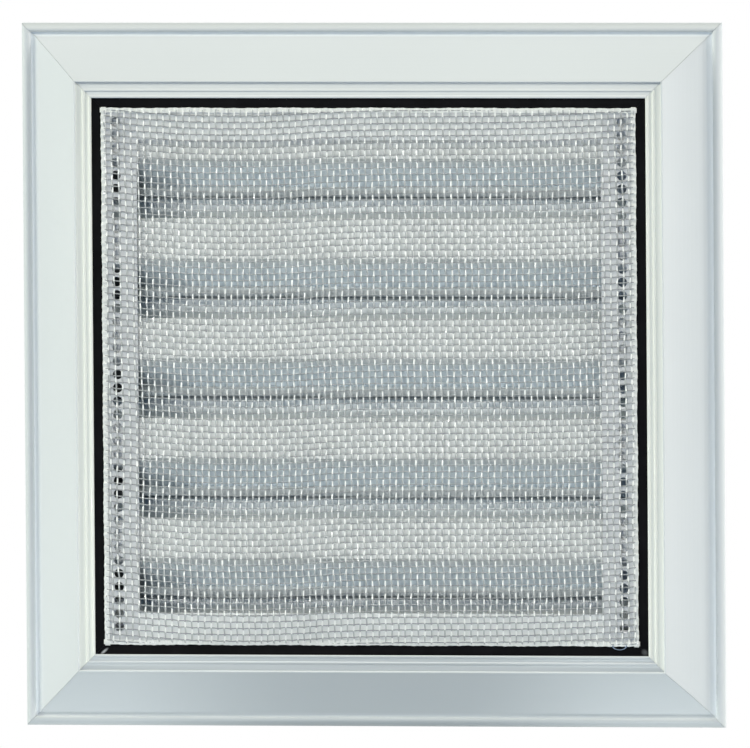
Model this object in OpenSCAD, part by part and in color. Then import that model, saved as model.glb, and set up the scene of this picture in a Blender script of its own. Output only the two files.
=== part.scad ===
// Square wall vent grille. A mitred frame with a raised inner edge lies on the wall, its neck
// reaches into the wall opening, and a louvred core with an insect screen over its front sits
// in the neck inside a black seal. The wall face is the plane y = 0 and the front faces -Y.
// Frame sections are drawn with x running inward from the outer edge and y standing off the wall.

/* [Frame] */
// Overall width of the frame
overall_w = 250; // [220:1:290]
// Overall height of the frame
overall_h = 250; // [220:1:290]
// Width of a rail seen from the front, from its outer edge to the inner lip
rail_w = 26.1; // [24.5:0.1:30]
// Height of the crest above the wall
crest_h = 13.4; // [12.6:0.1:15]
// Width of the round bead along the outer edge
bead_w = 3.3; // [2.4:0.1:4]
// Height at which the round of the outer bead starts
bead_foot_h = 2.2; // [1.8:0.1:3]
// Height of the narrow valley inside the outer bead
valley_h = 2; // [1.6:0.1:2.4]
// Width of that valley
valley_w = 0.6; // [0.3:0.1:1]
// How far the main face is hollowed below a straight slope
cove_sag = 0.7; // [0.2:0.1:0.9]
// Drop from the crest to the flat inner band
step_h = 0.9; // [0.5:0.1:1.2]
// Width of the flat inner band
band_w = 2.2; // [1.6:0.1:2.6]
// Width of the fine bead on the inner band
fine_bead_w = 1.1; // [0.8:0.1:1.4]
// Thickness of the front skin of the rail
skin_t = 1.4; // [1.2:0.1:1.6]
// Thickness of the web that lies on the wall
back_t = 1.2; // [1:0.1:1.6]
// Play at each mitred end
mitre_gap = 0.06; // [0.03:0.01:0.1]

/* [Neck] */
// Depth of the neck behind the wall face
neck_depth = 28; // [26:1:60]
// Thickness of the neck
neck_t = 1.4; // [1.2:0.1:1.8]
// How far the inside of the neck lies inside the lip
neck_in = 1.1; // [0.8:0.1:1.3]
// Depth of the ledge that carries the seal, below the crest
seal_ledge_drop = 3.2; // [2.8:0.1:3.6]
// How far the rear stop reaches in behind the core
stop_w = 4.8; // [4.4:0.1:6]
// Thickness of the rear stop
stop_t = 1.4; // [1:0.1:2]
// Diameter of the fixing holes in the left and right sides of the neck
fixing_d = 4.2; // [3:0.1:5.5]
// Distance between the two fixing holes of one side
fixing_spacing = 120; // [60:5:150]
// Distance of the fixing holes behind the wall face
fixing_y = 20; // [16:0.5:22]

/* [Corner cleats] */
// Length of each leg of a corner cleat
cleat_leg = 34; // [26:1:50]
// Width of the leg
cleat_w = 9.4; // [8:0.1:9.8]
// Thickness of the cleat
cleat_t = 4.8; // [3:0.1:5]
// Depth of the crimping notches
cleat_notch = 1.2; // [0.6:0.1:2]

/* [Seal] */
// Width of the black seal that shows round the core
seal_w = 3.7; // [3.4:0.1:4.5]
// Height of the seal above its ledge
seal_h = 1.8; // [1.4:0.1:2.2]
// Thickness of the leg that is pushed in beside the core
seal_leg_t = 1.3; // [1:0.1:1.5]
// Depth of that leg
seal_leg_h = 5; // [3:0.1:5.2]
// Play between two mitred lengths of seal
seal_gap = 0.05; // [0.02:0.01:0.1]

/* [Core] */
// Distance of the front of the core below the crest
core_drop = 1.2; // [0.9:0.1:1.6]
// Depth of the core from front to back
core_depth = 20; // [19:0.5:22]
// Thickness of the sheet of the core
sheet_t = 1; // [0.8:0.1:1.2]
// Width of the perforated strip at each side
strip_w = 11.8; // [9:0.1:14]
// Width of the flange across the top and the bottom
cross_w = 10.6; // [9:0.1:12]
// Width of the small return along the back of the sides
return_w = 4; // [2.5:0.1:6]
// Diameter of the round holes in the strips
perf_d = 3.4; // [2:0.1:3.8]
// Distance from one hole to the next
perf_pitch = 4.72; // [4.4:0.02:8]
// Distance of the column of holes from the outer edge of the strip
perf_x = 4.4; // [3.6:0.1:6]
// Distance of the first hole from the top of the strip
perf_first = 4.35; // [3:0.05:6]

/* [Blades] */
// Height of the upright front lip of a blade
lip_h = 14.3; // [10:0.1:16]
// Depth of the slope behind the lip, which falls as far as it runs back
slope_run = 12.1; // [8:0.1:13]
// Thickness of a blade
blade_t = 1.2; // [0.8:0.1:1.4]
// Play between the strips and the front lips
lip_play = 1; // [0.3:0.1:1.5]
// Part of the first lip that shows under the top flange
first_show = 6.75; // [4:0.05:9]
// Free height between the last slope and the bottom flange
last_drop = 1.85; // [0.5:0.05:4]
// How far the rear lip hangs down behind the next front lip
rear_overlap = 2.2; // [1:0.1:4]
// Outer radius of the screw port in the bend
port_r = 2.4; // [2.2:0.1:3]
// Radius of its bore
port_bore_r = 1.5; // [1.2:0.05:1.6]
// Width of the slot along the port
port_slot = 1.1; // [0.6:0.1:1.6]

/* [Screws] */
// Play between a screw and its bore
screw_play = 0.05; // [0.03:0.01:0.1]
// Length of the thread inside the port
screw_len = 12; // [6:1:20]
// Radius of the head
head_r = 2.5; // [2:0.1:2.8]
// Height of the head
head_h = 1.2; // [0.8:0.1:1.4]

/* [Screen] */
// Thickness of the wire of the screen
wire_t = 0.5; // [0.3:0.05:0.6]
// Distance from one upright wire to the next
warp_pitch = 2.325; // [2.2:0.025:4]
// Distance from one level wire to the next
weft_pitch = 2.25; // [2.2:0.025:4]
// How far the edge of the screen is folded back along the core
hem_depth = 1.4; // [0.9:0.1:1.8]
// Play between the two layers of wire, and between the folded edge and the core
weave_play = 0.03; // [0.02:0.01:0.05]

/* [Hidden] */
$fn = 48;
BLADES = 5;

// Turns that carry a bottom length to the other three sides
TO_LEFT = 90;
TO_TOP = 180;
TO_RIGHT = -90;
CUT = 1;

// Frame section, measured inward from the outer edge
bead_r = bead_w / 2;
crest_r = 0.4;
lip_w = 1.1;
fine_bead_h = 0.45;
inner_band_w = 1.2;
cove_start = bead_w + valley_w;
lip_start = rail_w - lip_w;
fine_bead_x = lip_start - inner_band_w - fine_bead_w / 2;
band_x = fine_bead_x - fine_bead_w / 2 - band_w;
crest_x = band_x - 2 * crest_r;
band_h = crest_h - step_h;
cove_run = crest_x - cove_start;
cove_rise = crest_h - crest_r - valley_h;
cove_steps = 12;
neck_x = rail_w + neck_in;
neck_outer_x = neck_x - neck_t;
seal_ledge_h = crest_h - seal_ledge_drop;

// Hollow of the rail
hollow_x0 = cove_start + 3.4;
hollow_x1 = neck_outer_x - skin_t * 0.8;
hollow_top = band_h - skin_t;

// Screen, core and blades
screen_x = rail_w + seal_w;
screen_w = overall_w - 2 * screen_x;
screen_h = overall_h - 2 * screen_x;
core_x = screen_x + wire_t + weave_play;
core_w = overall_w - 2 * core_x;
core_h = overall_h - 2 * core_x;
core_front = crest_h - core_drop;
core_back = core_front - core_depth;
window_w = core_w - 2 * strip_w;
window_h = core_h - 2 * cross_w;
blade_len = core_w - 2 * sheet_t;
blade_pitch = (window_h - first_show + last_drop + lip_h) / BLADES;
first_blade_z = window_h / 2 - first_show;
lip_front = core_front - sheet_t - lip_play;
bend_k = tan(22.5);
blade_edge = 0.3;
port_merge = 0.3;
rear_drop = blade_pitch - lip_h + rear_overlap;
port_reach = port_r - port_merge;
port_depth = slope_run - port_reach;
port_drop = slope_run + port_reach * bend_k;
port_level = lip_front - port_depth;
tab_front = port_level + 3.8;
tab_back = port_level - port_reach + 0.1;
tab_h = 8.6;
tab_screw_z = core_h / 2 - sheet_t - tab_h / 2;

// Points of the hollowed main face, from the valley up to the crest
function cove_point(t) =
    let (run = norm([cove_run, cove_rise]), bow = 4 * cove_sag * t * (1 - t) / run)
    [cove_start + t * cove_run + bow * cove_rise, valley_h + t * cove_rise - bow * cove_run];

// Height of a blade, counted from the top: the lower edge of its front lip
function blade_z(i) = first_blade_z - (i - 1) * blade_pitch;

// Closed section of one rail with its neck, before the hollow is taken out
module rail_outline() {
    stop_x = neck_x + stop_w;
    polygon(concat(
        [[0, 0], [neck_outer_x, 0], [neck_outer_x, -neck_depth], [neck_x, -neck_depth],
            [neck_x, core_back - stop_t], [stop_x, core_back - stop_t], [stop_x, core_back],
            [neck_x, core_back], [neck_x, seal_ledge_h], [rail_w, seal_ledge_h], [rail_w, band_h],
            [band_x, band_h], [band_x, crest_h - crest_r]],
        [for (i = [cove_steps:-1:0]) cove_point(i / cove_steps)],
        [[bead_w, valley_h], [bead_w, bead_foot_h], [bead_r, bead_foot_h + bead_r / 2],
            [0, bead_foot_h]]));
    translate([bead_r, bead_foot_h])
        circle(bead_r);
    translate([crest_x + crest_r, crest_h - crest_r])
        circle(crest_r);
    translate([fine_bead_x, band_h - fine_bead_w / 2 + fine_bead_h])
        circle(fine_bead_w / 2);
    translate([rail_w - lip_w / 2, band_h])
        circle(lip_w / 2);
}

// The hollow that runs through the rail
module rail_hollow() {
    polygon([[hollow_x0, back_t], [hollow_x1, back_t], [hollow_x1, hollow_top],
        [crest_x, hollow_top], [hollow_x0, valley_h]]);
}

// A bottom length of any section, with mitred ends and a little play at each
module mitred_length(length, half, gap) {
    reach = rail_w + seal_w + stop_w + CUT;
    intersection() {
        rotate([180, -90, 0])
            translate([-half, 0, -length / 2])
                linear_extrude(length)
                    children();
        translate([0, neck_depth + CUT, 0])
            rotate([90, 0, 0])
                linear_extrude(neck_depth + crest_h + 2 * CUT)
                    polygon([[gap - length / 2, -half], [length / 2 - gap, -half],
                        [length / 2 - gap - reach, reach - half], [gap + reach - length / 2, reach - half]]);
    }
}

// One mitred rail with its neck
module rail(length, half) {
    mitred_length(length, half, mitre_gap)
        difference() {
            rail_outline();
            rail_hollow();
        }
}

// An upright rail with the two fixing holes through its neck
module side_rail() {
    difference() {
        rail(overall_h, overall_w / 2);
        for (s = [-1, 1])
            translate([s * fixing_spacing / 2, fixing_y, neck_x - overall_w / 2 - neck_t - CUT])
                cylinder(d = fixing_d, h = neck_t + 2 * CUT);
    }
}

module frame_bottom() {
    color([0.86, 0.88, 0.89])
        rail(overall_w, overall_h / 2);
}

module frame_top() {
    color([0.88, 0.9, 0.9])
        rotate([0, TO_TOP, 0])
            rail(overall_w, overall_h / 2);
}

module frame_left() {
    color([0.88, 0.9, 0.9])
        rotate([0, TO_LEFT, 0])
            side_rail();
}

module frame_right() {
    color([0.87, 0.89, 0.9])
        rotate([0, TO_RIGHT, 0])
            side_rail();
}

// L-shaped cleat that joins two rails inside their hollow, with crimping notches in both legs
module cleat(sx, sz) {
    inner = hollow_x1 - 0.3;
    outer = inner - cleat_w;
    far = outer + cleat_leg;
    color([0.6, 0.62, 0.64])
        mirror([sx > 0 ? 1 : 0, 0, 0])
            mirror([0, 0, sz > 0 ? 1 : 0])
                translate([-overall_w / 2, -back_t, -overall_h / 2])
                    rotate([90, 0, 0])
                        linear_extrude(cleat_t)
                            difference() {
                                polygon([[outer, outer], [far, outer], [far, inner], [inner, inner],
                                    [inner, far], [outer, far]]);
                                for (k = [0.62, 0.84]) {
                                    translate([k * far, outer])
                                        circle(cleat_notch);
                                    translate([outer, k * far])
                                        circle(cleat_notch);
                                }
                            }
}

// Section of the seal: a flat face on its ledge and a finned leg beside the core
module seal_section() {
    leg_x = (neck_x + core_x - seal_leg_t) / 2;
    leg_mid = leg_x + seal_leg_t / 2;
    leg_end = seal_ledge_h - seal_leg_h;
    fin_h = 0.9;
    fin_t = 0.3;
    translate([rail_w, seal_ledge_h])
        square([seal_w, seal_h]);
    translate([leg_x, leg_end])
        square([seal_leg_t, seal_leg_h + seal_h / 2]);
    for (h = [leg_end, leg_end + seal_leg_h / 2])
        polygon([[leg_mid, h], [core_x, h + fin_h], [core_x, h + fin_h + fin_t],
            [leg_mid, h + 2 * fin_t], [neck_x, h + fin_h + fin_t], [neck_x, h + fin_h]]);
}

module seal(turn, length, half) {
    color([0.07, 0.07, 0.08])
        rotate([0, turn, 0])
            mitred_length(length, half, seal_gap)
                seal_section();
}

// Perforated side of the core: strip in front, web beside the blades and a return at the back
module core_side() {
    count = floor((core_h - 2 * perf_first) / perf_pitch) + 1;
    translate([-core_w / 2, -core_front, -core_h / 2])
        difference() {
            linear_extrude(core_h)
                polygon([[0, 0], [strip_w, 0], [strip_w, sheet_t], [sheet_t, sheet_t],
                    [sheet_t, core_depth - sheet_t], [return_w, core_depth - sheet_t],
                    [return_w, core_depth], [0, core_depth]]);
            for (k = [0:count - 1])
                translate([perf_x, -CUT, core_h - perf_first - k * perf_pitch])
                    rotate([-90, 0, 0])
                        cylinder(d = perf_d, h = sheet_t + 2 * CUT);
            for (z = screw_heights())
                translate([-CUT, core_front - port_level, core_h / 2 + z])
                    rotate([0, 90, 0])
                        cylinder(r = port_bore_r, h = sheet_t + 2 * CUT);
        }
}

module core_side_left() {
    color([0.8, 0.82, 0.83])
        core_side();
}

module core_side_right() {
    color([0.8, 0.82, 0.83])
        mirror([1, 0, 0])
            core_side();
}

// Cross rail at the top of the core: a flange between the strips, a web between the sides, and an end
// tab on each side that a screw holds
module cross_rail() {
    translate([-window_w / 2, -core_front, core_h / 2 - cross_w])
        cube([window_w, sheet_t, cross_w]);
    translate([-blade_len / 2, sheet_t - core_front, core_h / 2 - sheet_t])
        cube([blade_len, core_depth - 2 * sheet_t, sheet_t]);
    for (s = [0, 1])
        mirror([s, 0, 0])
            difference() {
                translate([-blade_len / 2, -tab_front, core_h / 2 - sheet_t - tab_h])
                    cube([sheet_t, tab_front - tab_back, tab_h + sheet_t / 2]);
                translate([-blade_len / 2 - CUT, -port_level, tab_screw_z])
                    rotate([0, 90, 0])
                        cylinder(r = port_bore_r, h = sheet_t + 2 * CUT);
            }
}

module core_top_rail() {
    color([0.8, 0.82, 0.83])
        cross_rail();
}

module core_bottom_rail() {
    color([0.8, 0.82, 0.83])
        mirror([0, 0, 1])
            cross_rail();
}

// Blade section: front lip, slope, rear lip and the screw port in the bend
module blade_section() {
    rear_x = slope_run + blade_t;
    difference() {
        union() {
            polygon([[blade_edge, lip_h], [0, lip_h - blade_edge], [0, 0], [slope_run, -slope_run],
                [slope_run, blade_edge - rear_drop], [slope_run + blade_edge, -rear_drop],
                [rear_x - blade_edge, -rear_drop], [rear_x, blade_edge - rear_drop],
                [rear_x, blade_t * bend_k - slope_run], [blade_t, blade_t * bend_k],
                [blade_t, lip_h - blade_edge], [blade_t - blade_edge, lip_h]]);
            translate([port_depth, -port_drop])
                circle(port_r);
        }
        translate([port_depth, -port_drop]) {
            circle(port_bore_r);
            rotate(-142)
                translate([0, -port_slot / 2])
                    square([port_r + CUT, port_slot]);
        }
    }
}

module blade(i) {
    color([0.78, 0.8, 0.81])
        translate([0, -lip_front, blade_z(i)])
            rotate([90, 0, 90])
                linear_extrude(blade_len, center = true)
                    blade_section();
}

// Heights of all screws of one side: one for each blade and one for each cross rail
function screw_heights() =
    concat([for (i = [1:BLADES]) blade_z(i) - port_drop], [tab_screw_z, -tab_screw_z]);

// Round-headed screw, its head outside the web and its thread in the port
module screw() {
    cylinder(r = port_bore_r - screw_play, h = screw_len);
    translate([0, 0, -head_h])
        intersection() {
            cylinder(r = head_r, h = head_h);
            translate([0, 0, head_h + head_r * 0.55])
                sphere(head_h + head_r * 0.55);
        }
}

module core_screws() {
    color([0.66, 0.68, 0.7])
        for (s = [-1, 1])
            for (z = screw_heights())
                translate([s * core_w / 2, -port_level, z])
                    rotate([0, -90 * s, 0])
                        screw();
}

// A layer of upright wires whose ends are folded back and joined along the folded edge
module wire_layer(field_w, wire_len, pitch, front) {
    gaps = round((field_w - wire_t) / pitch);
    step = (field_w - wire_t) / gaps;
    depth = front - core_front + hem_depth;
    translate([-field_w / 2, -front, 0])
        difference() {
            translate([0, 0, -wire_len / 2])
                cube([field_w, depth, wire_len]);
            translate([-CUT, wire_t, wire_t - wire_len / 2])
                cube([field_w + 2 * CUT, depth, wire_len - 2 * wire_t]);
            for (k = [0:gaps - 1])
                translate([k * step + wire_t, -CUT, -wire_len / 2 - CUT])
                    cube([step - wire_t, depth - wire_t + CUT, wire_len + 2 * CUT]);
        }
}

module mesh_screen() {
    color([0.9, 0.91, 0.91]) {
        wire_layer(screen_w, screen_h, warp_pitch, core_front + 2 * wire_t + 2 * weave_play);
        rotate([0, 90, 0])
            wire_layer(core_h, screen_w, weft_pitch, core_front + wire_t + weave_play);
    }
}

frame_top();
frame_bottom();
frame_left();
frame_right();
cleat(-1, 1);  // cleat_top_left
cleat(1, 1);  // cleat_top_right
cleat(-1, -1);  // cleat_bottom_left
cleat(1, -1);  // cleat_bottom_right
seal(TO_TOP, overall_w, overall_h / 2);  // seal_top
seal(0, overall_w, overall_h / 2);  // seal_bottom
seal(TO_LEFT, overall_h, overall_w / 2);  // seal_left
seal(TO_RIGHT, overall_h, overall_w / 2);  // seal_right
core_side_left();
core_side_right();
core_top_rail();
core_bottom_rail();
blade(1);  // blade_1
blade(2);  // blade_2
blade(3);  // blade_3
blade(4);  // blade_4
blade(5);  // blade_5
core_screws();
mesh_screen();
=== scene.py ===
# Square wall vent grille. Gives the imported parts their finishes, weaves the insect screen with its
# folded edges, and sets up the stage. All lengths are in metres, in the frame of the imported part:
# the wall face is the plane y = 0 and the front faces -Y.
import math

import bpy
from bpy.props import FloatProperty, FloatVectorProperty, IntProperty, PointerProperty
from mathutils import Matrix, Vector


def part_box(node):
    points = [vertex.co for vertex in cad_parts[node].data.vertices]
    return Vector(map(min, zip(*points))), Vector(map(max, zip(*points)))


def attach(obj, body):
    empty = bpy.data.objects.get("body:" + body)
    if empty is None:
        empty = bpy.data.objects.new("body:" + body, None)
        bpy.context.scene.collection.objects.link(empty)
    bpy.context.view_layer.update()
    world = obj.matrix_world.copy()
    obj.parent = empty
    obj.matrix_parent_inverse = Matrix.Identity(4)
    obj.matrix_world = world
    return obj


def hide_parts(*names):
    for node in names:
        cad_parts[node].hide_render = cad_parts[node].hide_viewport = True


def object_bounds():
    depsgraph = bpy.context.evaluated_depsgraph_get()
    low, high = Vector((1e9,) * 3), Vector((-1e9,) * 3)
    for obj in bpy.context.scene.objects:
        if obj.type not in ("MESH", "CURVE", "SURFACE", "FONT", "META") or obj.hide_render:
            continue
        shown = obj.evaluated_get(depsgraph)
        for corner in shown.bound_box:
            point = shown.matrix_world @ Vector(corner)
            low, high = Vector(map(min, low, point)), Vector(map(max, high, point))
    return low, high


bl_info = {
    "name": "Wall Vent Grille",
    "version": (1, 0, 0),
    "blender": (4, 5, 0),
    "location": "View3D > Sidebar > Vent Grille",
    "description": "Finishes, woven insect screen and studio stage for a louvred wall vent grille",
    "category": "Object",
}

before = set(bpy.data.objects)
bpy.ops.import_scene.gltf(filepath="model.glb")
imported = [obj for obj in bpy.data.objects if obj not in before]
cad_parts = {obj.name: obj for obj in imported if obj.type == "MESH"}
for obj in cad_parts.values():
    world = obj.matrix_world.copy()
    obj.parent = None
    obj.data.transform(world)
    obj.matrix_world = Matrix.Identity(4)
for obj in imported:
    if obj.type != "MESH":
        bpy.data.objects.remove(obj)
CAD_BOX = [list(corner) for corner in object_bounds()]
SCREEN_LOW, SCREEN_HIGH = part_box("mesh_screen")

CLEATS = ("cleat_top_left", "cleat_top_right", "cleat_bottom_left", "cleat_bottom_right")
SEALS = ("seal_top", "seal_bottom", "seal_left", "seal_right")
CROSS_RAILS = ("core_top_rail", "core_bottom_rail")
CORE_SIDES = ("core_side_left", "core_side_right")
BLADES = ("blade_1", "blade_2", "blade_3", "blade_4", "blade_5")

# How far the level wires hang below a straight row, from left to right across the screen
ROW_SAG = ((-0.099, -0.0008), (-0.0923, -0.0002), (-0.0794, 0.0008), (-0.0665, 0.0016),
           (-0.0537, 0.00186), (-0.0408, 0.00179), (-0.0279, 0.00132), (-0.015, 0.00057),
           (-0.0021, 0.00014), (0.0107, -0.00014), (0.0236, -0.00021), (0.0365, -0.00029),
           (0.0494, -0.00046), (0.0622, -0.00075), (0.0751, -0.00118), (0.088, -0.00182),
           (0.099, -0.0024))
# How far the upright wires are pushed to the right, from left to right and from bottom to top
COLUMN_PUSH = ((-0.099, 0.0018), (-0.0794, 0.0019), (-0.0665, 0.0021), (-0.0537, 0.0021),
               (-0.0408, 0.0014), (-0.0279, 0.0005), (-0.015, -0.0002), (-0.0021, -0.0005),
               (0.0107, -0.0007), (0.0236, -0.0005), (0.0365, -0.0003), (0.0494, -0.0005),
               (0.0622, -0.0012), (0.0751, -0.0019), (0.099, -0.0022))
HEIGHT_PUSH = ((-0.099, 0.0012), (-0.0746, 0.0011), (-0.0617, 0.0005), (-0.0488, 0.0004),
               (-0.0359, 0.0007), (-0.0231, 0.0009), (-0.0102, 0.0007), (0.0027, 0.0003),
               (0.0156, 0.0001), (0.0413, 0.0), (0.0542, 0.0), (0.0671, -0.0003),
               (0.08, -0.0006), (0.099, -0.0007))

# Small waves in the rows and columns of wire: height, waves along, and the sway between rows
ROW_RIPPLE = (0.00007, 1370.0, 3.0, 61.0)
COLUMN_RIPPLE = (0.00008, 910.0, 2.0, 83.0)
# Long and short waves of the wires along an edge: height, waves along and where they start
EDGE_STRAY = ((0.00009, 190.0, 1.0), (0.00006, 1150.0, 0.0))
# How much of the pull between two places of a table is eased, and not in proportion
EASED_SHARE = 0.35

# Steps in one wave of a wire, and the part of the wave that leans back and takes the lit upright
# colour; the rest of the wave takes a painted shade
WAVE_STEPS = 8
BRIGHT_PART = 0.375
# Points of a wire closer than this are one
MERGE_DISTANCE = 0.00002
# Spare cloth woven on each side before it is trimmed
CLOTH_MARGIN = 0.004
# Swing of the wires where the cloth turns over the core, as a share of their swing elsewhere
FOLD_SQUEEZE = 0.42
# How far the outermost edge wire lies past the edge of the cloth, and the room for its wave
EDGE_OVERHANG = 0.0003
EDGE_ROOM = 0.0003

# The loose end of wire: its bend, its thickness beside a whole wire, its height beside its width,
# its middle and the level at which it goes into the cloth
LOOP_RADIUS = 0.0024
LOOP_THICKNESS = 0.8
LOOP_FLATNESS = 0.55
LOOP_MIDDLE = (0.0886, -0.01275, -0.0953)
LOOP_CUT = -0.0951

# Depth at which the painted light in the valley beside the outer bead starts, and where it is palest
VALLEY_START_UPRIGHT = -0.0034
VALLEY_START_LEVEL = -0.0026
VALLEY_FLOOR = -0.0021
# Inner zone of the upright rails, from its edge inwards, and how much lighter its painted light
# makes it
INNER_ZONE = (0.1047, 0.1042)
INNER_ZONE_PAINTED_LIGHT = (1.19, 1.17, 1.08)
# Bands of the level rails that fall away outwards: from, to and fall
LEANING_BANDS = ((0.0985, 0.1045, 0.0022), (0.1222, 0.1262, 0.0020))

# Distance from one blade to the next, and the sum of Y and Z on the slope of the middle blade
BLADE_PITCH = 0.035508
SLOPE_SUM = -0.0039
# Lowest sum of Y and Z that belongs to the middle blade
BLADE_LOWEST_SUM = SLOPE_SUM - 0.01
# Where the painted shade, light and shadow on a blade fade in, each from nothing to all: by depth
SLOPE_BEGINS = (-0.0103, -0.006)
SLOPE_IS_DEEP = (-0.0078, -0.005)
SLOPE_ENDS = (0.0016, 0.0009)
PORT_ENDS = (0.0018, 0.0016)
REAR_BEGINS = (0.0016, 0.0018)
LEFT_SHADOW_DEEPENS = (-0.009, 0.0)
# by distance below the slope
PORT_BEGINS = (0.0004, 0.0009)
PORT_TURNS_UNDER = (0.0030, 0.0045)
# and across the grille
LEFT_SHADOW_GROWS = (-0.060, -0.082)
LEFT_SHADOW_STOPS = (-0.085, -0.083)
LEFT_END = (-0.0805, -0.0865)
RIGHT_END = (0.083, 0.087)
# Depth at which the web of the core's sheet starts behind its front strip, and its painted shade
# begins
WEB_BEGINS = (-0.0112, -0.0108)

# Painted shade and light on the blade aluminium away from its front lips: shade on the slope, light
# on the rear lip, shade on the screw port and more under it
SLOPE_PAINTED_SHADE = (0.79, 0.84, 0.87)
REAR_PAINTED_LIGHT = (0.87, 0.88, 0.87)
PORT_PAINTED_SHADE = (0.64, 0.67, 0.68)
PORT_UNDERSIDE_PAINTED_SHADE = (0.42, 0.44, 0.45)
# Painted shadow of the left strip over the left end of the blades
LEFT_PAINTED_SHADOW = (0.36, 0.40, 0.42)
# Painted shade on the deep parts of the blade ends hidden behind the strips, left and right
LEFT_END_PAINTED_SHADE = (0.035, 0.038, 0.04)
RIGHT_END_PAINTED_SHADE = (0.28, 0.33, 0.41)
# Painted shade on the web of the core's sheet behind its strips
WEB_PAINTED_SHADE = (0.5, 0.5, 0.49)
# Painted highlights on the seal in the lower corners: middle, turn, half axes and brightness
CORNER_PAINTED_HIGHLIGHTS = (((-0.0958, -0.012, -0.0979), -0.7, (0.0021, 0.004, 0.0006), 0.55),
          ((0.0975, -0.012, -0.0976), 0.7, (0.0016, 0.004, 0.0013), 0.12))

# Part of a noise pattern's range that is spread out, and the part over which a colour drifts
NOISE_SPAN = (0.3, 0.7)
DRIFT_SPAN = (0.35, 0.65)
# Y of a face's normal, from a face on edge to one that counts as turned to the front
FRONT_NORMAL = (0.0, -0.2)

FLOOR_COLOUR = (0.74, 0.75, 0.76)
# Width and height of the soft boxes at the sides
SIDE_BOX_SIZE = (1.2, 1.6)
# The point that the camera looks at
AIM = (0.00114, -0.0065, 0.00064)
# Sockets of a Mix node that mixes colours: what lies below, what lies above and the result
MIX_BELOW, MIX_ABOVE, MIX_RESULT = 6, 7, 2


class ScreenWeave(bpy.types.PropertyGroup):
    upright_pitch: FloatProperty(
        name="Upright pitch", description="Distance from one upright wire to the next",
        default=0.002325, min=0.002, max=0.004, precision=6, unit="LENGTH")
    level_pitch: FloatProperty(
        name="Level pitch", description="Distance from one level wire to the next",
        default=0.002248, min=0.002, max=0.004, precision=6, unit="LENGTH")
    wire_radius: FloatProperty(
        name="Wire radius", description="Radius of the upright wires",
        default=0.0003, min=0.00015, max=0.00035, precision=6, unit="LENGTH")
    level_radius: FloatProperty(
        name="Level wire radius", description="Radius of the level wires",
        default=0.00022, min=0.00015, max=0.0003, precision=6, unit="LENGTH")
    upright_crimp: FloatProperty(
        name="Upright crimp",
        description="How far an upright wire swings to each side of the cloth",
        default=0.00032, min=0.0001, max=0.0004, precision=6, unit="LENGTH")
    level_crimp: FloatProperty(
        name="Level crimp", description="How far a level wire swings to each side of the cloth",
        default=0.00012, min=0.00005, max=0.0004, precision=6, unit="LENGTH")
    wire_sides: IntProperty(
        name="Wire sides", description="Number of flats round a wire", default=6, min=5, max=8)
    fold_radius: FloatProperty(
        name="Fold radius", description="Radius at which the cloth turns over the edge of the core",
        default=0.0006, min=0.0003, max=0.001, precision=6, unit="LENGTH")
    hem_depth: FloatProperty(
        name="Hem depth", description="Length of cloth behind the fold",
        default=0.0006, min=0.0003, max=0.002, precision=6, unit="LENGTH")
    edge_wires: IntProperty(
        name="Edge wires", description="Number of wires packed together along each folded edge",
        default=4, min=2, max=6)
    edge_pitch: FloatProperty(
        name="Edge pitch", description="Distance between two wires that are packed along an edge",
        default=0.00043, min=0.0004, max=0.0008, precision=6, unit="LENGTH")
    edge_radius: FloatProperty(
        name="Edge wire radius", description="Radius of the wires that are packed along an edge",
        default=0.00024, min=0.00015, max=0.0003, precision=6, unit="LENGTH")
    edge_crimp: FloatProperty(
        name="Edge crimp", description="How far the wires along an edge swing to each side",
        default=0.00014, min=0.0, max=0.0003, precision=6, unit="LENGTH")


class GrilleColours(bpy.types.PropertyGroup):
    lacquer: FloatVectorProperty(
        name="Frame lacquer", description="Satin lacquer of the mitred frame", subtype="COLOR",
        default=(0.675, 0.69, 0.70), min=0.0, max=1.0)
    blade: FloatVectorProperty(
        name="Blade", description="Drawn aluminium of the louvre blades", subtype="COLOR",
        default=(0.84, 0.84, 0.82), min=0.0, max=1.0)
    core: FloatVectorProperty(
        name="Cross rails", description="Rolled aluminium of the cross rails",
        subtype="COLOR", default=(0.80, 0.80, 0.785), min=0.0, max=1.0)
    strip: FloatVectorProperty(
        name="Perforated sides", description="Rolled aluminium of the perforated sides",
        subtype="COLOR", default=(0.69, 0.69, 0.69), min=0.0, max=1.0)
    rubber: FloatVectorProperty(
        name="Seal", description="Black rubber between frame and core", subtype="COLOR",
        default=(0.003, 0.003, 0.0035), min=0.0, max=1.0)
    # Lit colour of the upright wires, on the part of each wave that leans back
    upright_wire: FloatVectorProperty(
        name="Upright wire", description="Bright upright wires of the screen", subtype="COLOR",
        default=(0.86, 0.86, 0.845), min=0.0, max=1.0)
    edge_wire: FloatVectorProperty(
        name="Edge wire", description="Wires that are packed along the folded edges",
        subtype="COLOR", default=(0.80, 0.80, 0.78), min=0.0, max=1.0)
    # Painted shade on the part of each upright wire that leans forward
    painted_shade_wire: FloatVectorProperty(
        name="Shaded wire", description="Underside of the upright wires where they lean forward",
        subtype="COLOR", default=(0.49, 0.50, 0.50), min=0.0, max=1.0)
    # Painted shade: the level wires are drawn darker than the upright ones, for the shade under them
    shaded_level_wire: FloatVectorProperty(
        name="Level wire", description="Duller level wires of the screen", subtype="COLOR",
        default=(0.35, 0.36, 0.365), min=0.0, max=1.0)
    loose_wire: FloatVectorProperty(
        name="Loose wire", description="End of wire that hangs below the lower edge",
        subtype="COLOR", default=(0.20, 0.25, 0.34), min=0.0, max=1.0)
    steel: FloatVectorProperty(
        name="Screw", description="Zinc plated steel of the core screws", subtype="COLOR",
        default=(0.55, 0.56, 0.57), min=0.0, max=1.0)
    cast: FloatVectorProperty(
        name="Corner cleat", description="Cast aluminium of the corner cleats", subtype="COLOR",
        default=(0.50, 0.51, 0.52), min=0.0, max=1.0)


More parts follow.
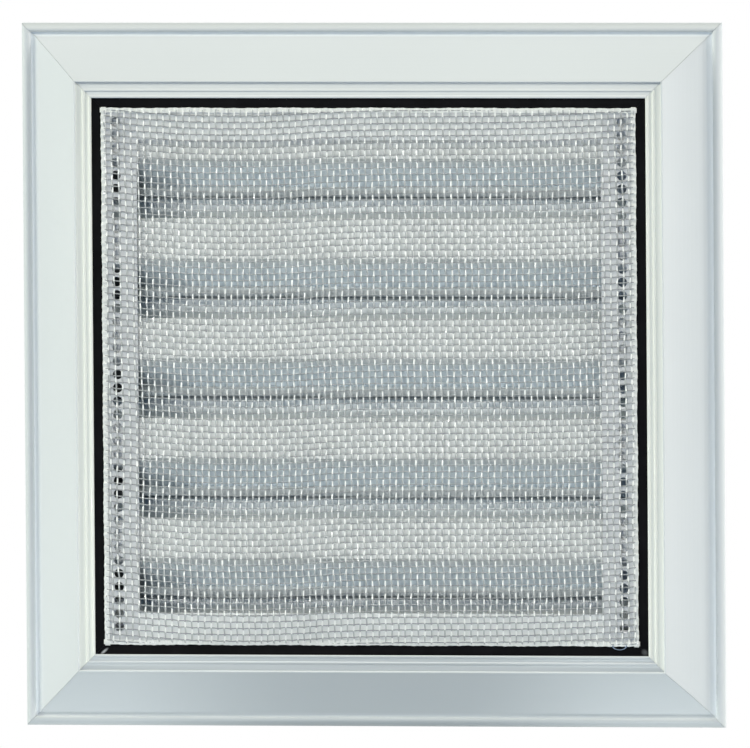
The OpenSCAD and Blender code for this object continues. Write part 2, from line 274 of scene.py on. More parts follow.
class StudioStage(bpy.types.PropertyGroup):
    camera_turn: FloatProperty(
        name="Camera turn", description="How far the camera stands to the right of straight ahead",
        default=math.radians(7.5), subtype="ANGLE")
    camera_lift: FloatProperty(
        name="Camera lift", description="How far the camera looks down on the grille",
        default=math.radians(4.0), subtype="ANGLE")
    camera_roll: FloatProperty(
        name="Camera roll", description="Clockwise roll of the camera",
        default=math.radians(0.4), subtype="ANGLE")
    camera_distance: FloatProperty(
        name="Camera distance", description="From the camera to the point it looks at",
        default=8.0, min=2.0, max=12.0, unit="LENGTH")
    lens: FloatProperty(
        name="Lens", description="Focal length in millimetres",
        default=1083.4, min=50.0, max=2000.0, unit="CAMERA")
    left_power: FloatProperty(
        name="Left box", description="Power of the soft box on the left",
        default=26.9, unit="POWER")
    left_high_power: FloatProperty(
        name="High left box", description="Power of the soft box high on the left",
        default=38.4, unit="POWER")
    right_power: FloatProperty(
        name="Right box", description="Power of the soft box on the right",
        default=56.7, unit="POWER")
    upper_power: FloatProperty(
        name="Upper box", description="Power of the soft box in front and above",
        default=41.9, unit="POWER")
    front_power: FloatProperty(
        name="Front box", description="Power of the soft box in front",
        default=6.6, unit="POWER")
    core_power: FloatProperty(
        name="Core box", description="Power of the narrow soft box that faces the core",
        default=0.0315, precision=4, unit="POWER")
    corner_power: FloatProperty(
        name="Corner boxes", description="Power of each small box that lights a lower corner",
        default=0.0093, precision=4, unit="POWER")
    ambient: FloatProperty(
        name="Ambient", description="Strength of the light from all round", default=0.145)
    ambient_colour: FloatVectorProperty(
        name="Ambient colour", description="Tint of the light from all round", subtype="COLOR",
        default=(0.2, 0.7, 1.0), min=0.0, max=1.0)
    floor_size: FloatProperty(
        name="Floor size", description="Side of the square floor", default=6.0, unit="LENGTH")
    floor_drop: FloatProperty(
        name="Floor drop", description="Height of the grille above the floor",
        default=1.0, unit="LENGTH")


# Materials

def start_material(name, colour, roughness, metallic=0.0):
    """A new material, with its node tree, its shader and the object's own coordinates."""
    material = bpy.data.materials.new(name)
    material.use_nodes = True
    tree = material.node_tree
    tree.nodes.clear()
    output = tree.nodes.new("ShaderNodeOutputMaterial")
    shader = tree.nodes.new("ShaderNodeBsdfPrincipled")
    tree.links.new(shader.outputs["BSDF"], output.inputs["Surface"])
    shader.inputs["Base Color"].default_value = (*colour, 1.0)
    shader.inputs["Roughness"].default_value = roughness
    shader.inputs["Metallic"].default_value = metallic
    place = tree.nodes.new("ShaderNodeTexCoord")
    return material, tree, shader, place.outputs["Object"]


def stretched(tree, place, scale):
    """Coordinates drawn out along some axes, for marks that run one way."""
    mapping = tree.nodes.new("ShaderNodeMapping")
    mapping.inputs["Scale"].default_value = scale
    tree.links.new(place, mapping.inputs["Vector"])
    return mapping.outputs["Vector"]


def cloudy(tree, place, scale, detail=3.0, rough=0.55):
    noise = tree.nodes.new("ShaderNodeTexNoise")
    noise.inputs["Scale"].default_value = scale
    noise.inputs["Detail"].default_value = detail
    noise.inputs["Roughness"].default_value = rough
    tree.links.new(place, noise.inputs["Vector"])
    return noise.outputs["Fac"]


def spread(tree, value, low, high):
    """A pattern brought into the range from low to high."""
    ranged = tree.nodes.new("ShaderNodeMapRange")
    ranged.inputs["From Min"].default_value = NOISE_SPAN[0]
    ranged.inputs["From Max"].default_value = NOISE_SPAN[1]
    ranged.inputs["To Min"].default_value = low
    ranged.inputs["To Max"].default_value = high
    tree.links.new(value, ranged.inputs["Value"])
    return ranged.outputs["Result"]


def tint(tree, shader, value, colour, darker):
    """Base colour that drifts between the colour and a darker shade of it."""
    ramp = tree.nodes.new("ShaderNodeValToRGB")
    ramp.color_ramp.elements[0].position = DRIFT_SPAN[0]
    ramp.color_ramp.elements[1].position = DRIFT_SPAN[1]
    ramp.color_ramp.elements[0].color = (*[part * darker for part in colour], 1.0)
    ramp.color_ramp.elements[1].color = (*colour, 1.0)
    tree.links.new(value, ramp.inputs["Fac"])
    tree.links.new(ramp.outputs["Color"], shader.inputs["Base Color"])


def soft_oval(tree, place, centre, angle, size):
    """A soft oval mark in the plane of the front: one in its middle and nothing at its rim."""
    mapping = tree.nodes.new("ShaderNodeMapping")
    mapping.vector_type = "TEXTURE"
    mapping.inputs["Location"].default_value = centre
    mapping.inputs["Rotation"].default_value = (0.0, angle, 0.0)
    mapping.inputs["Scale"].default_value = size
    tree.links.new(place, mapping.inputs["Vector"])
    oval = tree.nodes.new("ShaderNodeTexGradient")
    oval.gradient_type = "SPHERICAL"
    tree.links.new(mapping.outputs["Vector"], oval.inputs["Vector"])
    return oval.outputs["Fac"]


def rise(tree, value, start, end):
    """Rises from nothing to one as a value goes from start to end."""
    ranged = tree.nodes.new("ShaderNodeMapRange")
    ranged.interpolation_type = "SMOOTHSTEP"
    ranged.inputs["From Min"].default_value = start
    ranged.inputs["From Max"].default_value = end
    tree.links.new(value, ranged.inputs["Value"])
    return ranged.outputs["Result"]


def coordinate(tree, place, axis):
    parts = tree.nodes.new("ShaderNodeSeparateXYZ")
    tree.links.new(place, parts.inputs["Vector"])
    return parts.outputs[axis]


def beyond(tree, place, axis, start, end):
    """Rises from nothing to one as the coordinate on an axis goes from start to end."""
    return rise(tree, coordinate(tree, place, axis), start, end)


def combine(tree, operation, first, second):
    both = tree.nodes.new("ShaderNodeMath")
    both.operation = operation
    tree.links.new(first, both.inputs[0])
    tree.links.new(second, both.inputs[1])
    return both.outputs["Value"]


def overlap(tree, *masks):
    """One only where every mask is one."""
    shared = masks[0]
    for mask in masks[1:]:
        shared = combine(tree, "MULTIPLY", shared, mask)
    return shared


def lay_over(tree, shader, mask, colour):
    """Lays a colour over the base colour where the mask is high."""
    mix = tree.nodes.new("ShaderNodeMix")
    mix.data_type = "RGBA"
    below = shader.inputs["Base Color"].links[0].from_socket
    tree.links.new(mask, mix.inputs["Factor"])
    tree.links.new(below, mix.inputs[MIX_BELOW])
    mix.inputs[MIX_ABOVE].default_value = (*colour, 1.0)
    tree.links.new(mix.outputs[MIX_RESULT], shader.inputs["Base Color"])


def relief(tree, shader, value, strength, depth):
    """Adds a raised pattern on top of any relief that the shader already has."""
    bump = tree.nodes.new("ShaderNodeBump")
    bump.inputs["Strength"].default_value = strength
    bump.inputs["Distance"].default_value = depth
    tree.links.new(value, bump.inputs["Height"])
    if shader.inputs["Normal"].is_linked:
        tree.links.new(shader.inputs["Normal"].links[0].from_socket, bump.inputs["Normal"])
    tree.links.new(bump.outputs["Normal"], shader.inputs["Normal"])


def seen_from_front(tree):
    """One on faces turned to the front and nothing on faces turned to the back."""
    where = tree.nodes.new("ShaderNodeTexCoord")
    return rise(tree, coordinate(tree, where.outputs["Normal"], "Y"), *FRONT_NORMAL)


def off_centre(tree, place, axis):
    """Distance from the middle of the grille along an axis."""
    size = tree.nodes.new("ShaderNodeMath")
    size.operation = "ABSOLUTE"
    tree.links.new(coordinate(tree, place, axis), size.inputs[0])
    return size.outputs["Value"]


def lean_outwards(tree, shader, place, start, end, fall):
    """Lets the flat bands of the frame between two distances from its middle fall away outwards."""
    outwards = combine(tree, "MAXIMUM", off_centre(tree, place, "X"), off_centre(tree, place, "Z"))
    ranged = tree.nodes.new("ShaderNodeMapRange")
    ranged.inputs["From Min"].default_value = start
    ranged.inputs["From Max"].default_value = end
    tree.links.new(outwards, ranged.inputs["Value"])
    relief(tree, shader, ranged.outputs["Result"], strength=1.0, depth=-fall)


def satin_lacquer(name, colour, valley, upright):
    """White-silver lacquer with a faint orange peel, with painted light in the valley beside the
    outer bead, and painted light on the inner zone of the upright rails.
    """
    material, tree, shader, place = start_material(name, colour, roughness=0.5)
    tint(tree, shader, cloudy(tree, place, scale=9.0, detail=2.0), colour, darker=0.975)
    valley_start = VALLEY_START_UPRIGHT if upright else VALLEY_START_LEVEL
    # Painted light: the lacquer in the valley beside the outer bead is made paler to lift the shade
    # that falls there
    lay_over(tree, shader, beyond(tree, place, "Y", valley_start, VALLEY_FLOOR),
             [part * valley for part in colour])
    if upright:
        # Painted light on the inner zone of the upright rails
        lay_over(tree, shader, rise(tree, off_centre(tree, place, "X"), *INNER_ZONE),
                 [part * lift for part, lift in zip(colour, INNER_ZONE_PAINTED_LIGHT)])
    else:
        for start, end, fall in LEANING_BANDS:
            lean_outwards(tree, shader, place, start, end, fall)
    tree.links.new(spread(tree, cloudy(tree, place, scale=22.0), low=0.46, high=0.56),
                   shader.inputs["Roughness"])
    relief(tree, shader, cloudy(tree, place, scale=650.0, detail=2.0), strength=0.05, depth=0.00006)
    shader.inputs["Specular IOR Level"].default_value = 0.35
    shader.inputs["Coat Weight"].default_value = 0.05
    shader.inputs["Coat Roughness"].default_value = 0.3
    return material


def drawn_aluminium(name, colour, along):
    """Satin aluminium with die lines that run along the length."""
    material, tree, shader, place = start_material(name, colour, roughness=0.45)
    lines = cloudy(tree, stretched(tree, place, along), scale=1.0, detail=4.0, rough=0.6)
    tint(tree, shader, lines, colour, darker=0.94)
    tree.links.new(spread(tree, cloudy(tree, place, scale=30.0), low=0.4, high=0.52),
                   shader.inputs["Roughness"])
    relief(tree, shader, lines, strength=0.08, depth=0.00004)
    return material, tree, shader, place


def core_sheet(name, colour):
    """Rolled sheet: clean on the strips in front, with painted shade on the web that runs back."""
    material, tree, shader, place = drawn_aluminium(name, colour, along=(260.0, 260.0, 24.0))
    # Painted shade on the web behind the strips
    lay_over(tree, shader, beyond(tree, place, "Y", *WEB_BEGINS), WEB_PAINTED_SHADE)
    return material


def on_screw_port(tree, place, start, end):
    """Rises to one between two distances below the slope, in front of the rear lip only."""
    below = tree.nodes.new("ShaderNodeMath")
    below.operation = "WRAP"
    fall = combine(tree, "ADD", coordinate(tree, place, "Y"), coordinate(tree, place, "Z"))
    tree.links.new(fall, below.inputs[0])
    below.inputs[1].default_value = BLADE_LOWEST_SUM + BLADE_PITCH
    below.inputs[2].default_value = BLADE_LOWEST_SUM
    return overlap(tree, rise(tree, below.outputs["Value"], SLOPE_SUM - start, SLOPE_SUM - end),
                   beyond(tree, place, "Y", *PORT_ENDS))


def louvre_blade(colour):
    """Drawn blade with painted shade on its slope, screw port and hidden ends, painted light on its
    rear lip, and a painted shadow of the left strip over its left end.
    """
    material, tree, shader, place = drawn_aluminium("drawn_blade", colour,
                                                    along=(10.0, 420.0, 420.0))
    # Painted shade on the slope, painted light on the rear lip, painted shade on the screw port and
    # under it
    lay_over(tree, shader, beyond(tree, place, "Y", *SLOPE_BEGINS), SLOPE_PAINTED_SHADE)
    lay_over(tree, shader, beyond(tree, place, "Y", *REAR_BEGINS), REAR_PAINTED_LIGHT)
    lay_over(tree, shader, on_screw_port(tree, place, *PORT_BEGINS), PORT_PAINTED_SHADE)
    lay_over(tree, shader, on_screw_port(tree, place, *PORT_TURNS_UNDER), PORT_UNDERSIDE_PAINTED_SHADE)
    front = seen_from_front(tree)
    # Painted shadow that the left strip casts over the left end of the blades, deeper further back
    left_shadow = overlap(tree, beyond(tree, place, "X", *LEFT_SHADOW_GROWS),
                    beyond(tree, place, "X", *LEFT_SHADOW_STOPS),
                    beyond(tree, place, "Y", *LEFT_SHADOW_DEEPENS), front)
    lay_over(tree, shader, left_shadow, LEFT_PAINTED_SHADOW)
    deep = overlap(tree, beyond(tree, place, "Y", *SLOPE_IS_DEEP),
                   beyond(tree, place, "Y", *SLOPE_ENDS), front)
    # Painted shade on the deep parts of the blade ends behind the strips
    for end, end_shade in ((LEFT_END, LEFT_END_PAINTED_SHADE), (RIGHT_END, RIGHT_END_PAINTED_SHADE)):
        lay_over(tree, shader, overlap(tree, deep, beyond(tree, place, "X", *end)), end_shade)
    return material


def black_rubber(colour):
    """Smooth extruded rubber with a dull sheen, a little dust, and painted highlights in the lower
    corners.
    """
    material, tree, shader, place = start_material("black_rubber", colour, roughness=0.5)
    tint(tree, shader, cloudy(tree, place, scale=160.0, detail=4.0),
         [part * 1.6 for part in colour], darker=0.6)
    tree.links.new(spread(tree, cloudy(tree, place, scale=90.0), low=0.42, high=0.6),
                   shader.inputs["Roughness"])
    relief(tree, shader, cloudy(tree, place, scale=1200.0, detail=2.0), strength=0.15,
           depth=0.00005)
    shader.inputs["Specular IOR Level"].default_value = 0.04
    # Painted highlights on the seal's lower corners
    for centre, angle, size, grey in CORNER_PAINTED_HIGHLIGHTS:
        lay_over(tree, shader, soft_oval(tree, place, centre, angle, size), (grey, grey, grey * 1.02))
    return material


def bright_wire(name, colour, dull):
    """Woven wire with slight changes of brightness along it."""
    material, tree, shader, place = start_material(name, colour, roughness=0.45)
    tint(tree, shader, cloudy(tree, place, scale=70.0), colour, darker=dull)
    tree.links.new(spread(tree, cloudy(tree, place, scale=210.0), low=0.38, high=0.54),
                   shader.inputs["Roughness"])
    relief(tree, shader, cloudy(tree, place, scale=2600.0, detail=2.0), strength=0.1, depth=0.00003)
    shader.inputs["Specular IOR Level"].default_value = 0.35
    return material


def plated_steel(colour):
    """Zinc plated steel with turning marks and a few pale blooms."""
    material, tree, shader, place = start_material("plated_steel", colour, roughness=0.35,
                                                   metallic=0.7)
    tint(tree, shader, cloudy(tree, place, scale=320.0, detail=4.0), colour, darker=0.85)
    tree.links.new(spread(tree, cloudy(tree, place, scale=500.0), low=0.28, high=0.45),
                   shader.inputs["Roughness"])
    turning = cloudy(tree, stretched(tree, place, (3000.0, 400.0, 400.0)), scale=1.0)
    relief(tree, shader, turning, strength=0.15, depth=0.00004)
    return material


def cast_aluminium(colour):
    """Grainy cast aluminium of the hidden corner cleats."""
    material, tree, shader, place = start_material("cast_aluminium", colour, roughness=0.6,
                                                   metallic=0.4)
    tint(tree, shader, cloudy(tree, place, scale=260.0, detail=5.0), colour, darker=0.82)
    tree.links.new(spread(tree, cloudy(tree, place, scale=400.0), low=0.5, high=0.7),
                   shader.inputs["Roughness"])
    relief(tree, shader, cloudy(tree, place, scale=900.0, detail=4.0), strength=0.4, depth=0.0001)
    return material


def dress(nodes, material):
    """Puts one finish on CAD nodes."""
    for name in nodes:
        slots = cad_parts[name].data.materials
        slots.clear()
        slots.append(material)


# Modelling helpers

def only(piece):
    """Leaves just one object selected and active."""
    bpy.ops.object.select_all(action="DESELECT")
    piece.select_set(True)
    bpy.context.view_layer.objects.active = piece


def finish_piece(piece, name):
    """Puts a piece's place in its mesh, smooths it, and says its body."""
    only(piece)
    bpy.ops.object.transform_apply(location=True, rotation=True, scale=True)
    bpy.ops.object.shade_smooth()
    piece.name = name
    piece.data.name = name
    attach(piece, "root")


def along_table(table, at):
    """Value of a table of (place, value) pairs, partly eased from one pair to the next."""
    if at <= table[0][0]:
        return table[0][1]
    for (x0, v0), (x1, v1) in zip(table, table[1:]):
        if at <= x1:
            t = (at - x0) / (x1 - x0)
            eased = (v1 - v0) * t * t * (3 - 2 * t)
            return v0 + eased * EASED_SHARE + (v1 - v0) * t * (1 - EASED_SHARE)
    return table[-1][1]


def crimped_wire(weave, radius, crimp, pitch, upright, periods, materials):
    """One straight wire of the flat cloth: a ring, drawn out over one wave, then repeated.

    The part of each wave that leans back takes the first material, and the rest takes the last: for
    the upright wires this paints their light and shade along each wave.
    """
    turn = (0.0, 0.0, 0.0) if upright else (0.0, math.pi / 2, 0.0)
    start = -periods * pitch
    place = (0.0, -crimp, start) if upright else (start, -crimp, 0.0)
    bpy.ops.object.select_all(action="DESELECT")
    bpy.ops.mesh.primitive_circle_add(
        vertices=weave.wire_sides, radius=radius, fill_type="NOTHING",
        location=place, rotation=turn)
    wire = bpy.context.object
    bpy.ops.object.transform_apply(location=True, rotation=True, scale=True)
    bpy.ops.object.mode_set(mode="EDIT")
    bpy.ops.mesh.select_all(action="SELECT")
    ahead = 2 * pitch / WAVE_STEPS
    for k in range(WAVE_STEPS):
        swing = crimp * (math.cos(2 * math.pi * k / WAVE_STEPS)
                         - math.cos(2 * math.pi * (k + 1) / WAVE_STEPS))
        move = (0.0, swing, ahead) if upright else (ahead, swing, 0.0)
        bpy.ops.mesh.extrude_region_move(TRANSFORM_OT_translate={"value": move})
    bpy.ops.object.mode_set(mode="OBJECT")
    for material in materials:
        wire.data.materials.append(material)
    for face in wire.data.polygons:
        ahead = (face.center.z if upright else face.center.x) - start
        phase = (ahead / (2 * pitch) + (0.0 if crimp > 0 else 0.5)) % 1.0
        face.material_index = 0 if phase < BRIGHT_PART else len(materials) - 1
    repeat = wire.modifiers.new("length", "ARRAY")
    repeat.count = periods
    repeat.use_relative_offset = False
    repeat.use_constant_offset = True
    repeat.constant_offset_displace = (0.0, 0.0, 2 * pitch) if upright else (2 * pitch, 0.0, 0.0)
    repeat.use_merge_vertices = True
    repeat.merge_threshold = MERGE_DISTANCE
    bpy.ops.object.modifier_apply(modifier="length")
    return wire


def lay_side_by_side(wire, count, step, shift):
    """Copies a wire across the cloth, step by step, and moves the set by shift."""
    only(wire)
    repeat = wire.modifiers.new("set", "ARRAY")
    repeat.count = count
    repeat.use_relative_offset = False
    repeat.use_constant_offset = True
    repeat.constant_offset_displace = step
    bpy.ops.object.modifier_apply(modifier="set")
    bpy.ops.object.mode_set(mode="EDIT")
    bpy.ops.mesh.select_all(action="SELECT")
    bpy.ops.transform.translate(value=shift)
    bpy.ops.object.mode_set(mode="OBJECT")


def across_wires(upright, distance):
    """A move at right angles to the wires of a set."""
    return (distance, 0.0, 0.0) if upright else (0.0, 0.0, distance)


def ripple(wave, along, across):
    """Height of a small wave in a wire, which sways from one wire to the next."""
    height, waves, sway, sway_waves = wave
    return height * math.sin(along * waves + sway * math.sin(across * sway_waves))


def pull_cloth(piece):
    """Moves each wire as the cloth was pulled when it was stretched by hand."""
    for vertex in piece.data.vertices:
        x, z = vertex.co.x, vertex.co.z
        vertex.co.z = z - along_table(ROW_SAG, x) + ripple(ROW_RIPPLE, x, z)
        vertex.co.x = (x + along_table(COLUMN_PUSH, x) + along_table(HEIGHT_PUSH, z)
                       + ripple(COLUMN_RIPPLE, z, x))
    piece.data.update()


def wander(piece, upright):
    """Lets the wires along an edge stray a little from a straight line."""
    for vertex in piece.data.vertices:
        at = vertex.co.z if upright else vertex.co.x
        stray = sum(height * math.sin(at * waves + start) for height, waves, start in EDGE_STRAY)
        if upright:
            vertex.co.x += stray
        else:
            vertex.co.z += stray
    piece.data.update()


def trim_cloth(piece, half_width, half_height):
    """Cuts the cloth off square on all four sides and closes the ends of the wires."""
    only(piece)
    for normal, reach in (((1, 0, 0), half_width), ((-1, 0, 0), half_width),
                          ((0, 0, 1), half_height), ((0, 0, -1), half_height)):
        bpy.ops.object.mode_set(mode="EDIT")
        bpy.ops.mesh.select_all(action="SELECT")
        bpy.ops.mesh.bisect(plane_co=Vector(normal) * reach, plane_no=normal,
                            use_fill=True, clear_outer=True)
        bpy.ops.object.mode_set(mode="OBJECT")


def fold_over(along, flat, radius):
    """Where a point of the flat cloth lands: how far out, how far down and how far turned."""
    past = abs(along) - flat
    if past <= 0:
        return abs(along), 0.0, 0.0
    turn = min(past / radius, math.pi / 2)
    down = radius * (1 - math.cos(turn)) + max(0.0, past - radius * math.pi / 2)
    return flat + radius * math.sin(turn), down, turn


def fold_cloth(piece, weave, middle, edge):
    """Lays the cloth on the front of the core and turns its margins back over the core's edges."""
    flat = edge - weave.fold_radius
    for vertex in piece.data.vertices:
        x, lift, z = vertex.co.x, -vertex.co.y, vertex.co.z
        out_x, down_x, turn_x = fold_over(x, flat, weave.fold_radius)
        out_z, down_z, turn_z = fold_over(z, flat, weave.fold_radius)
        turned = max(math.sin(turn_x), math.sin(turn_z))
        lift *= 1 - (1 - FOLD_SQUEEZE) * turned
        vertex.co.x = math.copysign(out_x + lift * math.sin(turn_x), x)
        vertex.co.z = math.copysign(out_z + lift * math.sin(turn_z), z)
        vertex.co.y = -(middle + lift * math.cos(turn_x) * math.cos(turn_z) - down_x - down_z)
    piece.data.update()


def cloth_sizes(weave):
    """Half the width of the flat cloth and of the cut cloth, and how far forward it lies."""
    edge = (SCREEN_HIGH.x - SCREEN_LOW.x) / 2 - weave.wire_radius
    reach = edge + weave.fold_radius * (math.pi / 2 - 1) + weave.hem_depth
    middle = -CAD_BOX[0][1] - weave.upright_crimp - weave.wire_radius
    return edge, reach, middle


def close_cloth(wire, name, weave, middle, edge, reach):
    """Trims and folds a set of wires and puts it in the screen's place."""
    trim_cloth(wire, reach, reach)
    fold_cloth(wire, weave, middle, edge)
    bpy.ops.object.mode_set(mode="EDIT")
    bpy.ops.mesh.select_all(action="SELECT")
    bpy.ops.mesh.normals_make_consistent(inside=False)
    bpy.ops.object.mode_set(mode="OBJECT")
    finish_piece(wire, name)
    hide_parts("mesh_screen")


class VENT_OT_finish_frame(bpy.types.Operator):
    """Lacquer the four mitred rails and finish the corner cleats inside them"""

    bl_idname = "vent.finish_frame"
    bl_label = "Finish Frame"

    def execute(self, context):
        colours = context.scene.grille_colours
        # The valley factors are painted light: more on the top and upright rails than on the bottom
        # one
        for rails, name, valley, upright in (
                (("frame_top",), "lacquer_top", 1.35, False),
                (("frame_bottom",), "lacquer_bottom", 1.08, False),
                (("frame_left", "frame_right"), "lacquer_upright", 1.3, True)):
            dress(rails, satin_lacquer(name, colours.lacquer, valley, upright))
        dress(CLEATS, cast_aluminium(colours.cast))
        return {"FINISHED"}


class VENT_OT_finish_seal(bpy.types.Operator):
    """Give the four lengths of seal their black rubber"""

    bl_idname = "vent.finish_seal"
    bl_label = "Finish Seal"

    def execute(self, context):
        dress(SEALS, black_rubber(context.scene.grille_colours.rubber))
        return {"FINISHED"}


class VENT_OT_finish_core(bpy.types.Operator):
    """Finish the perforated sides, the cross rails, the louvre blades and the screws"""

    bl_idname = "vent.finish_core"
    bl_label = "Finish Core"

    def execute(self, context):
        colours = context.scene.grille_colours
        dress(CROSS_RAILS, core_sheet("cross_rail_sheet", colours.core))
        dress(CORE_SIDES, core_sheet("perforated_sheet", colours.strip))
        dress(BLADES, louvre_blade(colours.blade))
        dress(("core_screws",), plated_steel(colours.steel))
        return {"FINISHED"}


class VENT_OT_weave_screen(bpy.types.Operator):
    """Weave the insect screen from crimped wires and fold its edges over the core"""

    bl_idname = "vent.weave_screen"
    bl_label = "Weave Screen"

    def execute(self, context):
        weave = context.scene.screen_weave
        colours = context.scene.grille_colours
        # A lit copy and a painted-shade copy of the upright wire, split along each wave
        bright = bright_wire("upright_wire", colours.upright_wire, dull=0.9)
        shaded = bright_wire("painted_shade_wire", colours.painted_shade_wire, dull=0.86)
        # Painted shade on the level wires
        level = bright_wire("shaded_level_wire", colours.shaded_level_wire, dull=0.86)
        edge, reach, middle = cloth_sizes(weave)
        for name, upright, odd in (
                ("screen_upright_wires_a", True, 0), ("screen_upright_wires_b", True, 1),
                ("screen_level_wires_a", False, 0), ("screen_level_wires_b", False, 1)):
            pitch = weave.level_pitch if upright else weave.upright_pitch
            side = weave.upright_pitch if upright else weave.level_pitch
            radius = weave.wire_radius if upright else weave.level_radius
            crimp = weave.upright_crimp if upright else -weave.level_crimp
            wire = crimped_wire(weave, radius, -crimp if odd else crimp, pitch, upright,
                                math.ceil((reach + CLOTH_MARGIN) / pitch),
                                (bright, shaded) if upright else (level,))
            half_count = math.ceil((reach + CLOTH_MARGIN) / (2 * side))
            lay_side_by_side(wire, 2 * half_count + 1, across_wires(upright, 2 * side),
                             across_wires(upright, odd * side - 2 * half_count * side))
            pull_cloth(wire)
            close_cloth(wire, name, weave, middle, edge, reach)
        return {"FINISHED"}


class VENT_OT_bind_edges(bpy.types.Operator):
    """Pack bright wires along the four folded edges of the screen"""

    bl_idname = "vent.bind_edges"
    bl_label = "Bind Edges"

    def execute(self, context):
        weave = context.scene.screen_weave
        colours = context.scene.grille_colours
        material = bright_wire("edge_wire", colours.edge_wire, dull=0.94)
        edge, reach, middle = cloth_sizes(weave)
        outermost = edge + EDGE_OVERHANG
        for name, upright, side, sunk in (
                ("screen_edge_left", True, -1, 0.00005), ("screen_edge_right", True, 1, 0.00025),
                ("screen_edge_top", False, 1, 0.00015), ("screen_edge_bottom", False, -1, 0.00025)):
            pitch = (weave.level_pitch if upright else weave.upright_pitch) / 2
            wire = crimped_wire(weave, weave.edge_radius, weave.edge_crimp, pitch, upright,
                                math.ceil(reach / pitch), (material,))
            lay_side_by_side(wire, weave.edge_wires,
                             across_wires(upright, -side * weave.edge_pitch),
                             across_wires(upright, side * outermost))
            wander(wire, upright)
            close_cloth(wire, name, weave, middle - sunk,
                        outermost + weave.wire_radius + EDGE_ROOM, reach)
        self.hang_loop(weave, bright_wire("loose_wire", colours.loose_wire, dull=0.8))
        return {"FINISHED"}

    def hang_loop(self, weave, material):
        """A loose end of wire that hangs below the lower edge on the right."""
        bpy.ops.object.select_all(action="DESELECT")
        bpy.ops.mesh.primitive_torus_add(
            major_segments=40, minor_segments=8, major_radius=LOOP_RADIUS,
            minor_radius=weave.wire_radius * LOOP_THICKNESS,
            location=LOOP_MIDDLE, rotation=(math.pi / 2, 0.0, 0.0))
        loop = bpy.context.object
        loop.scale = (1.0, LOOP_FLATNESS, 1.0)
        bpy.ops.object.transform_apply(location=True, rotation=True, scale=True)
        bpy.ops.object.mode_set(mode="EDIT")
        bpy.ops.mesh.select_all(action="SELECT")
        bpy.ops.mesh.bisect(plane_co=(0.0, 0.0, LOOP_CUT), plane_no=(0.0, 0.0, 1.0),
                            use_fill=True, clear_outer=True)
        bpy.ops.object.mode_set(mode="OBJECT")
        loop.data.materials.append(material)
        finish_piece(loop, "screen_loose_loop")
        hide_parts("mesh_screen")


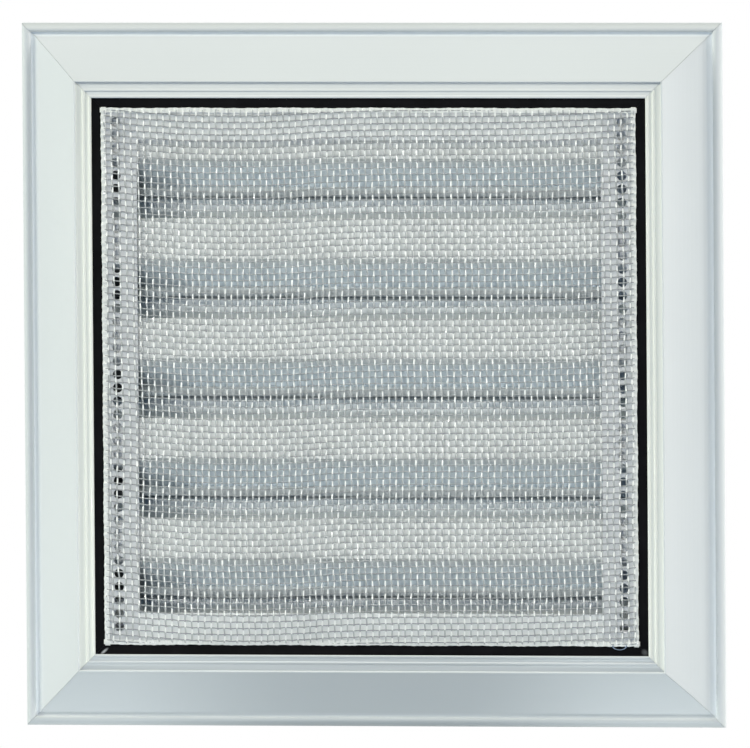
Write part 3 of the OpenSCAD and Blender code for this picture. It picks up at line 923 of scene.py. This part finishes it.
class VENT_OT_set_stage(bpy.types.Operator):
    """Set up the floor, the soft boxes, the white surround and the camera"""

    bl_idname = "vent.set_stage"
    bl_label = "Set Stage"

    def soft_box(self, name, place, size, power, colour, target=(0.0, 0.0, 0.0), fan=math.pi):
        """An area lamp that faces the target and spreads its light over the angle fan."""
        bpy.ops.object.select_all(action="DESELECT")
        bpy.ops.object.light_add(type="AREA", location=place)
        lamp = bpy.context.object
        lamp.name = name
        lamp.data.shape = "RECTANGLE"
        lamp.data.size, lamp.data.size_y = size
        lamp.data.energy = power
        lamp.data.color = colour
        lamp.data.spread = fan
        lamp.rotation_euler = (Vector(target) - Vector(place)).to_track_quat("-Z", "Y").to_euler()

    def white_for_lens(self, tree, seen, lit):
        """Mixes a background that lens, gloss and glass see with one that lights the scene."""
        path = tree.nodes.new("ShaderNodeLightPath")
        direct = combine(tree, "MAXIMUM", path.outputs["Is Camera Ray"],
                         path.outputs["Is Glossy Ray"])
        through = combine(tree, "MAXIMUM", direct, path.outputs["Is Transmission Ray"])
        mix = tree.nodes.new("ShaderNodeMixShader")
        tree.links.new(through, mix.inputs["Fac"])
        tree.links.new(lit, mix.inputs[1])
        tree.links.new(seen, mix.inputs[2])
        return mix.outputs["Shader"]

    def execute(self, context):
        scene = context.scene
        stage = scene.studio_stage
        scene.view_settings.view_transform = "Standard"

        world = bpy.data.worlds.new("white_surround")
        world.use_nodes = True
        scene.world = world
        tree = world.node_tree
        tree.nodes.clear()
        output = tree.nodes.new("ShaderNodeOutputWorld")
        seen = tree.nodes.new("ShaderNodeBackground")
        seen.inputs["Color"].default_value = (1.0, 1.0, 1.0, 1.0)
        seen.inputs["Strength"].default_value = 1.0
        lit = tree.nodes.new("ShaderNodeBackground")
        lit.inputs["Color"].default_value = (*stage.ambient_colour, 1.0)
        lit.inputs["Strength"].default_value = stage.ambient
        surround = self.white_for_lens(tree, seen.outputs["Background"], lit.outputs["Background"])
        tree.links.new(surround, output.inputs["Surface"])

        bpy.ops.object.select_all(action="DESELECT")
        bpy.ops.mesh.primitive_grid_add(
            x_subdivisions=12, y_subdivisions=12, size=stage.floor_size,
            location=(0.0, 0.0, CAD_BOX[0][2] - stage.floor_drop))
        floor = context.object
        floor.name = "studio_floor"
        bpy.ops.object.transform_apply(location=True, rotation=True, scale=True)
        material, tree, shader, place = start_material("pale_floor", FLOOR_COLOUR, roughness=0.8)
        tint(tree, shader, cloudy(tree, place, scale=3.0), FLOOR_COLOUR, darker=0.99)
        floor.data.materials.append(material)

        self.soft_box("left_box", (-2.59, -0.943, 0.487), SIDE_BOX_SIZE, stage.left_power,
                      (0.908, 1.0, 0.923))
        self.soft_box("high_left_box", (-2.3, -0.85, 1.45), SIDE_BOX_SIZE, stage.left_high_power,
                      (0.96, 0.905, 0.758))
        self.soft_box("right_box", (2.66, -0.47, 0.725), SIDE_BOX_SIZE, stage.right_power,
                      (0.96, 0.936, 0.872))
        self.soft_box("upper_box", (0.3, -2.1, 2.1), (1.6, 1.4), stage.upper_power,
                      (0.965, 0.932, 0.804))
        self.soft_box("front_box", (0.2, -3.2, 0.0), (1.6, 1.6), stage.front_power,
                      (0.2, 0.35, 1.0))
        self.soft_box("core_box", (-0.16, -0.9, -0.12), (0.19, 0.19), stage.core_power,
                      (0.994, 1.0, 0.969), fan=math.radians(4.0))
        for side in (-1, 1):
            self.soft_box("corner_box", (0.0, -0.14, -0.36), (0.05, 0.05), stage.corner_power,
                          (0.935, 1.0, 0.986), target=(side * 0.118, 0.0, -0.12),
                          fan=math.radians(30.0))

        turn, lift = stage.camera_turn, stage.camera_lift
        back = Vector((math.sin(turn) * math.cos(lift), -math.cos(turn) * math.cos(lift),
                       math.sin(lift)))
        bpy.ops.object.camera_add(location=Vector(AIM) + back * stage.camera_distance)
        camera = context.object
        camera.name = "studio_camera"
        camera.data.lens = stage.lens
        camera.data.sensor_width = 36.0
        camera.data.clip_start = 0.1
        camera.data.clip_end = 50.0
        camera.rotation_euler = (-back).to_track_quat("-Z", "Y").to_euler()
        camera.rotation_euler.rotate_axis("Z", -stage.camera_roll)
        scene.camera = camera
        return {"FINISHED"}


class VENT_PT_panel(bpy.types.Panel):
    """Sidebar panel with the sizes, the colours and the steps"""

    bl_label = "Vent Grille"
    bl_idname = "VENT_PT_panel"
    bl_space_type = "VIEW_3D"
    bl_region_type = "UI"
    bl_category = "Vent Grille"

    def draw(self, context):
        scene = context.scene
        for group in (scene.screen_weave, scene.grille_colours, scene.studio_stage):
            column = self.layout.column(align=True)
            for name in group.__annotations__:
                column.prop(group, name)
        for operator in OPERATORS:
            self.layout.operator(operator.bl_idname)


OPERATORS = (VENT_OT_finish_frame, VENT_OT_finish_seal, VENT_OT_finish_core, VENT_OT_weave_screen,
             VENT_OT_bind_edges, VENT_OT_set_stage)
CLASSES = (ScreenWeave, GrilleColours, StudioStage) + OPERATORS + (VENT_PT_panel,)


def register():
    for cls in CLASSES:
        bpy.utils.register_class(cls)
    bpy.types.Scene.screen_weave = PointerProperty(type=ScreenWeave)
    bpy.types.Scene.grille_colours = PointerProperty(type=GrilleColours)
    bpy.types.Scene.studio_stage = PointerProperty(type=StudioStage)


def unregister():
    del bpy.types.Scene.studio_stage
    del bpy.types.Scene.grille_colours
    del bpy.types.Scene.screen_weave
    for cls in reversed(CLASSES):
        bpy.utils.unregister_class(cls)


def main():
    register()
    bpy.ops.vent.finish_frame()
    bpy.ops.vent.finish_seal()
    bpy.ops.vent.finish_core()
    bpy.ops.vent.weave_screen()
    bpy.ops.vent.bind_edges()
    bpy.ops.vent.set_stage()


if __name__ == "__main__":
    main()
